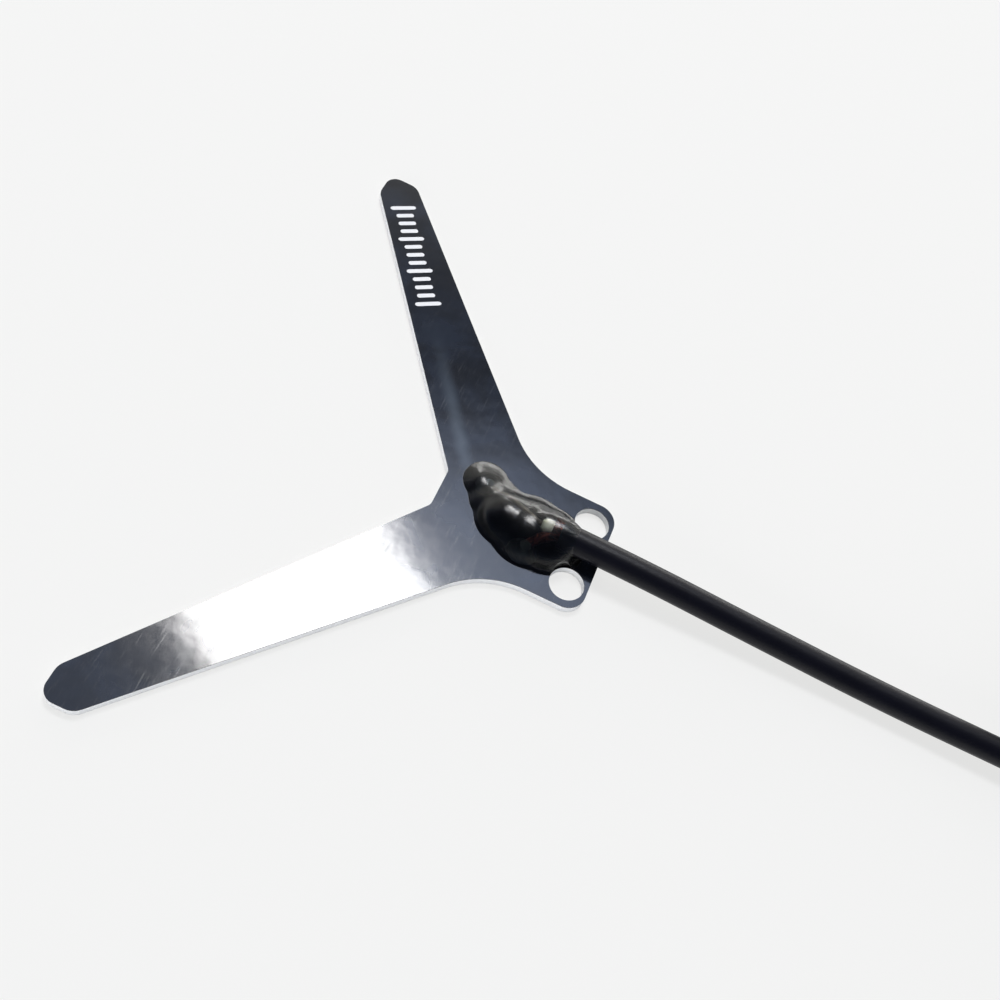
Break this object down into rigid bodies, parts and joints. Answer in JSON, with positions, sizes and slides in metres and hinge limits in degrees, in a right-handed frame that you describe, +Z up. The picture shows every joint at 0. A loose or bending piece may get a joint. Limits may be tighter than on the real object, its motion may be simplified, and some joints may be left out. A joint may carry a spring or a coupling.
{
  "type": "fpv antenna",
  "caption": "Flat V shaped dipole antenna on a thin circuit board, with two mounting holes, a resin covered feed, a coaxial lead and a push-in plug.",
  "frame": {"origin": "midway between the two mounting holes, on the underside of the board", "axes": "+X along the lead, away from the arms; +Y towards the signal arm; +Z up out of the soldered face"},
  "size_m": [0.081, 0.046, 0.0042],
  "materials": {
    "laminate": "pale glass fibre laminate, routed edges",
    "copper": "etched copper foil",
    "solder_mask": "glossy black coat",
    "solder": "tin solder",
    "silvered_wire": "silver plated copper wire",
    "lead_core": "cream white fluoropolymer",
    "braid": "reddish copper braid",
    "resin": "clear potting resin, glossy",
    "jacket": "matte black jacket",
    "tie": "black strip",
    "plated_brass": "gold plated, turned",
    "crimp_metal": "gold plated, crimped",
    "shrink_sleeve": "matte black shrunk sleeve"
  },
  "bodies": {
    "root": {"circuit_board": "laminate", "signal_arm_copper": "copper", "ground_arm_copper": "copper", "solder_mask": "solder_mask", "signal_solder_joint": "solder", "ground_solder_joint": "solder", "lead_conductor": "silvered_wire", "lead_dielectric": "lead_core", "lead_braid": "braid", "resin_drop": "resin", "coaxial_lead": "jacket", "lead_coil": "jacket", "lead_tail": "jacket", "coil_tie": "tie", "plug_body": "plated_brass", "plug_insulator": "lead_core", "plug_pin": "plated_brass", "plug_snap_ring": "plated_brass", "plug_ferrule": "crimp_metal", "plug_boot": "shrink_sleeve"}
  },
  "joints": []
}
